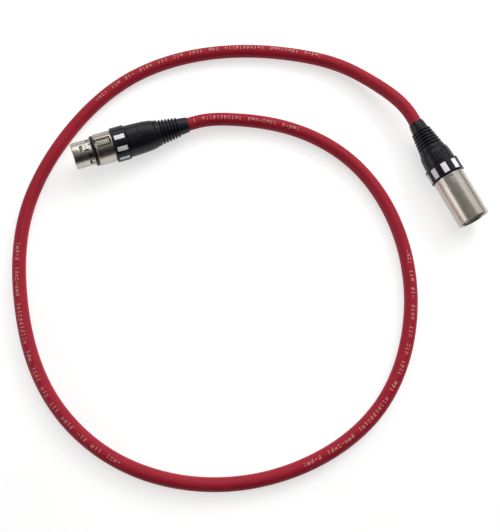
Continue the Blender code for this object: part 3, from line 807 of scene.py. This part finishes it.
def plug_bushing_relief(angle, z):
    """Two thin ridges along the bushing and one small round dot beside them."""
    radius = 9.2
    lift = 0.0
    for line, start in ((-23.0, 23.4), (-13.0, 24.2)):
        arc = math.radians(gap_between(angle, line)) * radius
        lift = max(lift, 0.5 * plateau(min(z - start, 30.9 - z), 0.3) * ridge(arc, 0.46))
    dot = math.hypot(math.radians(gap_between(angle, 5.8)) * radius, z - 25.8)
    return max(lift, 0.6 * ridge(dot, 0.72))


def socket_bushing_relief(angle, z):
    """A raised long panel on the latch side."""
    radius = 9.2
    across = math.radians(22.0 - gap_between(angle, 0.0)) * radius
    return 0.36 * plateau(min(across, z - 22.9, 33.0 - z), 0.2)


def make_bushing(side, place, body, material, corners, relief):
    outline = divided(filleted(corners), 0.22, 8.0, 22.4, 39.5)
    mesh = lathe(outline, 360, relief, 8.0)
    finish_piece(side + "_bushing_shell", mesh, place, material, body, [side + "_bushing"])


def window_angles(phase, blank):
    return [phase + 360.0 * position / POSITIONS for position in range(POSITIONS) if position != blank]


def make_coding_ring(side, place, body, material, ring_rear, phase, blank, forward):
    """The carrier ring: soft outer edges, a row of rounded windows and a hollow for the label band."""
    front = ring_rear + RING_LENGTH
    middle = ring_rear + RING_LENGTH / 2.0 + forward
    hollow = 9.8
    corners = [
        (RING_BORE, front, 0.1), (RING_RADIUS, front, 0.45),
        (RING_RADIUS, ring_rear, 0.45), (RING_BORE, ring_rear, 0.1),
        (RING_BORE, ring_rear + RING_WALL, 0.05), (hollow, ring_rear + RING_WALL, 0.05),
        (hollow, front - RING_WALL, 0.05), (RING_BORE, front - RING_WALL, 0.05),
    ]
    blocks = []
    for angle in window_angles(phase, blank):
        blocks.append(rounded_block(WINDOW_WIDTH, WINDOW_LENGTH, 0.3, 9.5, 11.0, angle, middle))
    mesh = worked(lathe(filleted(corners), 180), joined(blocks), bevel=0.09)
    nodes = [side + "_coding_ring"]
    finish_piece(side + "_coding_carrier", mesh, place, material, body, nodes)


def make_label_band(side, place, body, material, ring_rear, phase, blank, forward):
    """The white band behind the windows, with a raised tile in each."""
    rear = ring_rear + RING_WALL + GAP
    front = ring_rear + RING_LENGTH - RING_WALL - GAP
    middle = ring_rear + RING_LENGTH / 2.0 + forward
    tile_width = WINDOW_WIDTH - 0.24
    tile_length = WINDOW_LENGTH - 0.24
    face = 9.5
    corners = [(RING_BORE, front, 0.05), (face, front, 0.05), (face, rear, 0.05), (RING_BORE, rear, 0.05)]
    tiles = []
    for angle in window_angles(phase, blank):
        tiles.append(rounded_block(tile_width, tile_length, 0.22, 9.3, 10.3, angle, middle))
    mesh = worked(lathe(filleted(corners, 2), 180), joined(tiles), "UNION", bevel=0.08)
    nodes = [side + "_label_band"]
    finish_piece(side + "_label_tiles", mesh, place, material, body, nodes)


# ---------------------------------------------------------------- the plug
def plug_shell_relief(angle, z):
    """Fine grooves round the shell just in front of the coding ring, in three groups."""
    depth = 0.0
    for middle, half_arc, lines in (
        (-55.0, 13.0, (42.1, 43.4, 44.6, 45.8)),
        (-9.0, 8.5, (43.3, 44.7, 46.1)),
        (26.0, 15.0, (43.2, 45.5)),
    ):
        across = math.radians(half_arc - gap_between(angle, middle)) * PLUG_RADIUS
        strength = 0.16 if half_arc < 10.0 else 0.07
        for line in lines:
            depth = max(depth, strength * plateau(across, 0.25) * ridge(z - line, 0.34))
    frame_across = math.radians(gap_between(angle, 33.0)) * PLUG_RADIUS
    border = max(frame_across - 2.6, abs(z - 52.8) - 3.0)
    return -max(depth, 0.07 * ridge(border, 0.3))


def make_plug_shell(material):
    corners = [
        (8.2, 69.1, 0.15), (8.75, PLUG_FRONT, 0.12), (PLUG_RADIUS, PLUG_FRONT, 0.4),
        (PLUG_RADIUS, PLUG_REAR, 0.3), (SPIGOT_RADIUS, PLUG_REAR, 0.1),
        (SPIGOT_RADIUS, PLUG_SPIGOT_REAR, 0.15), (6.65, PLUG_SPIGOT_REAR, 0.15),
        (6.65, 44.0, 0.1), (8.2, 44.0, 0.1),
    ]
    outline = divided(filleted(corners), 0.12, 9.0, 41.4, 56.6)
    slot = rounded_block(5.0, 2.6, 0.3, 7.0, 11.0, math.degrees(PLUG_ROLL), PLUG_FRONT - 3.0)
    mesh = worked(lathe(outline, 300, plug_shell_relief, 9.0), slot)
    finish_piece("plug_sleeve", mesh, PLUG, material, "lead", ["plug_shell"])


def make_plug_insert(material):
    """The black disc with the pins' holes, a raised rim and a flat for the ground contact."""
    front = PLUG_FRONT - PIN_FLOOR
    rear = 44.3
    corners = [
        (0.0, front - 0.25, 0.0), (6.9, front - 0.25, 0.1), (7.05, front, 0.1), (7.9, front, 0.25),
        (7.9, rear, 0.1), (0.0, rear, 0.0),
    ]
    hole_radius = PIN_RADIUS + 0.12
    holes = [
        rod(x * PIN_CIRCLE, y * PIN_CIRCLE, hole_radius, rear - 1.0, front + 1.0) for x, y in PIN_SPOTS
    ]
    flat = rounded_block(3.8, 8.6, 0.2, 6.8, 9.0, 180.0, 47.5)
    mesh = worked(lathe(filleted(corners), 120), joined(holes + [flat]))
    finish_piece("plug_pin_carrier", mesh, PLUG_PINS, material, "lead", ["plug_insert"])


def make_plug_pins(material):
    """Round pins with domed tips, each with its collar and solder cup behind the insert."""
    tip = PLUG_FRONT - PIN_FLOOR + PIN_LENGTH
    shoulder = 43.6
    rear = 40.6
    cup_floor = rear + 2.6
    turns = np.linspace(math.pi / 2.0, 0.0, 9)
    outline = [(PIN_RADIUS * math.cos(turn), tip - 1.0 + math.sin(turn)) for turn in turns]
    outline += [
        (PIN_RADIUS, shoulder), (1.35, shoulder), (1.35, rear + 0.1), (1.25, rear), (0.95, rear),
        (0.95, cup_floor), (0.0, cup_floor),
    ]
    for number, (x, y) in enumerate(PIN_SPOTS, start=1):
        mesh = lathe(outline, 40)
        place = PLUG_PINS @ Matrix.Translation((x * PIN_CIRCLE, y * PIN_CIRCLE, 0.0))
        name = "plug_contact_pin_" + str(number)
        finish_piece(name, mesh, place, material, "lead", ["plug_pin_" + str(number)])


# ---------------------------------------------------------------- the socket
def make_housing(material):
    """Body and nose in one casting, with the button's recess, the hook's channel and small key notches."""
    corners = [
        (6.95, SOCKET_FRONT, 0.12), (NOSE_RADIUS, SOCKET_FRONT, 0.5),
        (NOSE_RADIUS, SOCKET_BODY_FRONT, 0.05), (SOCKET_RADIUS, SOCKET_BODY_FRONT, 0.35),
        (SOCKET_RADIUS, SOCKET_REAR, 0.3),
        (SPIGOT_RADIUS, SOCKET_REAR, 0.1), (SPIGOT_RADIUS, SOCKET_SPIGOT_REAR, 0.15),
        (6.95, SOCKET_SPIGOT_REAR, 0.12),
    ]
    hook_rear = 59.5
    hook_front = 68.4
    hook_middle = (hook_rear + hook_front) / 2.0
    cuts = [
        rounded_block(5.3, 9.6, 0.45, 5.0, 10.0, 0.0, 54.35),
        rounded_block(3.8, hook_front - hook_rear, 0.35, 5.0, 10.0, 0.0, hook_middle),
    ]
    notch_rear = 61.6
    for angle, width, front in ((37.0, 2.0, 64.0), (72.0, 3.4, 64.4), (-36.0, 1.9, 63.8)):
        middle = (notch_rear + front) / 2.0
        cuts.append(rounded_block(width, front - notch_rear, 0.3, 6.8, 10.0, angle, middle))
    mesh = worked(lathe(filleted(corners), 240), joined(cuts), bevel=0.07)
    tabs = [rounded_block(0.7, 2.0, 0.2, 7.1, 7.72, angle, 62.3) for angle in (33.5, 67.0, 76.0, -34.0)]
    mesh = worked(mesh, joined(tabs), "UNION")
    finish_piece("socket_casting", mesh, SOCKET, material, "lead", ["socket_housing"])


def make_gasket(material):
    """The black ring at the root of the nose, chamfered in front."""
    bore = 8.05
    outer = 9.1
    rear = SOCKET_BODY_FRONT + GAP
    corners = [
        (bore, NOSE_REAR, 0.1), (8.7, NOSE_REAR, 0.3), (outer, NOSE_REAR - 0.9, 0.3), (outer, rear, 0.2),
        (bore, rear, 0.1),
    ]
    mesh = lathe(filleted(corners), 144)
    finish_piece("socket_seal", mesh, SOCKET, material, "lead", ["socket_gasket"])


def make_socket_insert(material):
    """The black contact block: three chamfered mouths in front and a flat under the latch."""
    front = SOCKET_FRONT - 0.1
    rear = 52.5
    radius = 6.65
    corners = [(0.0, front, 0.0), (radius, front, 0.3), (radius, rear, 0.1), (0.0, rear, 0.0)]
    cuts = [rounded_block(14.0, 17.2, 0.2, 4.4, 9.0, 0.0, 60.2)]
    for x, y in PIN_SPOTS:
        cuts.append(rod(x * PIN_CIRCLE, y * PIN_CIRCLE, 1.85, rear - 1.0, 70.5))
    mesh = worked(lathe(filleted(corners), 120), joined(cuts))
    mouths = []
    mouth_rear = 70.0
    mouth_front = front + 1.0
    outline = [
        (0.0, mouth_rear), (1.35, mouth_rear), (1.35, front - 0.45), (1.8, front + 0.02),
        (1.8, mouth_front), (0.0, mouth_front),
    ]
    for x, y in PIN_SPOTS:
        mouth = lathe(outline, 40)
        mouth.transform(Matrix.Translation((x * PIN_CIRCLE, y * PIN_CIRCLE, 0.0)))
        mouths.append(mouth)
    dimple = 1.6
    mouths.append(rounded_block(dimple, dimple, 0.75, -6.0, -4.6, 0.0, front - 0.5))
    mesh = worked(mesh, joined(mouths))
    nodes = ["socket_insert"]
    finish_piece("socket_contact_block", mesh, SOCKET, material, "lead", nodes)


def button_mesh():
    """The button of the latch: a crowned top with slanted grip ridges inside a plain rim."""
    half_x = 2.1
    low_z = 50.3
    high_z = 58.3
    floor = 6.9
    columns = 56
    rows = 106
    vertices = []
    for row in range(rows + 1):
        z = low_z + (high_z - low_z) * row / rows
        for column in range(columns + 1):
            x = -half_x + 2.0 * half_x * column / columns
            inside = min(half_x - abs(x), z - low_z, high_z - z)
            crown = math.sqrt(9.3 ** 2 - x * x) - 0.25 * (1.0 - plateau(inside, 0.3))
            wave = ((z + 0.7 * x) / 1.3) % 1.0
            groove = plateau(inside - 0.4, 0.15) * plateau(0.5 - abs(wave - 0.5), 0.25)
            vertices.append((x, crown - 0.6 * groove, z))
    vertices += [(x, floor, z) for x, _, z in vertices]
    return shape_mesh(vertices, slab_faces(rows, columns))


def make_latch(material):
    """The latch lever: an eye for its pin, the gripped button and the hook in the nose."""
    arm_low = 5.9
    arm_high = 7.0
    end = 67.9
    side_view = [
        (HINGE_Z - 1.2, HINGE_Y - 0.5, 0.2), (HINGE_Z - 0.5, HINGE_Y - 1.15, 0.2),
        (HINGE_Z + 0.5, HINGE_Y - 1.15, 0.2), (HINGE_Z + 1.2, arm_low, 0.2), (end, arm_low, 0.15),
        (end, arm_high - 0.2, 0.15), (66.9, arm_high, 0.2), (65.3, 8.7, 0.3), (62.9, 8.7, 0.25),
        (62.9, arm_high, 0.1), (HINGE_Z + 0.9, arm_high, 0.1), (HINGE_Z + 0.9, HINGE_Y + 0.9, 0.1),
        (HINGE_Z - 0.4, HINGE_Y + 1.2, 0.3), (HINGE_Z - 1.2, HINGE_Y + 0.5, 0.3),
    ]
    outline = [(y, z) for z, y in filleted(side_view, 3)]
    turn = Matrix(((0.0, 1.0, 0.0, 0.0), (1.0, 0.0, 0.0, 0.0), (0.0, 0.0, 1.0, 0.0), (0.0, 0.0, 0.0, 1.0)))
    arm = prism(outline, -1.6, 1.6, turn)
    eye = rod(0.0, 0.0, 0.65, -3.0, 3.0)
    eye.transform(Matrix.Translation((0.0, HINGE_Y, HINGE_Z)) @ Matrix.Rotation(math.pi / 2.0, 4, "Y"))
    mesh = worked(worked(arm, button_mesh(), "UNION"), eye)
    finish_piece("latch_lever_cast", mesh, SOCKET, material, "latch_lever", ["latch"])


# ---------------------------------------------------------------- putting it together
def dress_cad_nodes(materials):
    """Gives each CAD node that is still shown the material of its slot."""
    for row in frame["record"]["subparts"]:
        node = frame["nodes"][row["node"]]
        if not node.hide_render:
            node.data.materials.clear()
            node.data.materials.append(materials[row["material_slot"]])


def build():
    nickel = nickel_material()
    black = moulded(
        "black_polyamide", (0.0055, 0.0055, 0.009), (0.008, 0.008, 0.0125), (0.018, 0.018, 0.026),
        0.24, 0.32, 0.00002, 0.25,
    )
    rubber = moulded(
        "black_rubber", (0.005, 0.0052, 0.0085), (0.0075, 0.0078, 0.0115), (0.018, 0.019, 0.027),
        0.3, 0.38, 0.00003, 0.3,
    )
    white = moulded(
        "white_tiles", (0.62, 0.6, 0.67), (0.7, 0.68, 0.75), (0.8, 0.79, 0.84), 0.38, 0.5, 0.00002,
    )
    gold = plain_metal("gold_flash", (0.62, 0.44, 0.19), (0.78, 0.6, 0.3), 0.2, 0.34)
    steel = plain_metal("spring_strip", (0.38, 0.38, 0.39), (0.5, 0.5, 0.5), 0.25, 0.4)
    red = moulded(
        "red_insulation", (0.38, 0.02, 0.02), (0.48, 0.035, 0.03), (0.6, 0.1, 0.09), 0.4, 0.55, 0.00002,
    )
    pale = moulded(
        "white_insulation", (0.68, 0.67, 0.62), (0.78, 0.77, 0.73), (0.85, 0.85, 0.82), 0.4, 0.55, 0.00002,
    )

    strand = Strand(cable_line())
    jacket = jacket_material()
    make_jacket(strand, jacket)
    make_print(strand, ink_material())

    plug_code = (PLUG_RING_REAR, -15.0, 4, 0.4)
    socket_code = (SOCKET_RING_REAR, 2.0, 8, 0.0)
    make_plug_shell(nickel)
    make_plug_insert(black)
    make_plug_pins(gold)
    make_coding_ring("plug", PLUG, "plug_ring", black, *plug_code)
    make_label_band("plug", PLUG, "plug_ring", white, *plug_code)
    corners = bushing_corners(PLUG_RING_REAR, 9.5, 8.55, PLUG_SPIGOT_REAR)
    make_bushing("plug", PLUG, "plug_cap", black, corners, plug_bushing_relief)
    make_boot("plug", PLUG, "plug_cap", rubber)

    make_housing(nickel)
    make_gasket(rubber)
    make_socket_insert(black)
    make_latch(nickel)
    make_coding_ring("socket", SOCKET, "socket_ring", black, *socket_code)
    make_label_band("socket", SOCKET, "socket_ring", white, *socket_code)
    corners = bushing_corners(SOCKET_RING_REAR, 9.7, 8.45, SOCKET_SPIGOT_REAR)
    make_bushing("socket", SOCKET, "socket_cap", black, corners, socket_bushing_relief)
    make_boot("socket", SOCKET, "socket_cap", rubber)

    dress_cad_nodes({
        "jacket": jacket, "nickel": nickel, "black_plastic": black, "rubber": rubber,
        "white_plastic": white, "plated_brass": gold, "spring_steel": steel, "red_core": red,
        "white_core": pale, "black_sleeve": black,
    })


make_camera()
make_lights()
make_world()
make_floor(floor_material())
bpy.context.scene.view_settings.view_transform = "Standard"
build()
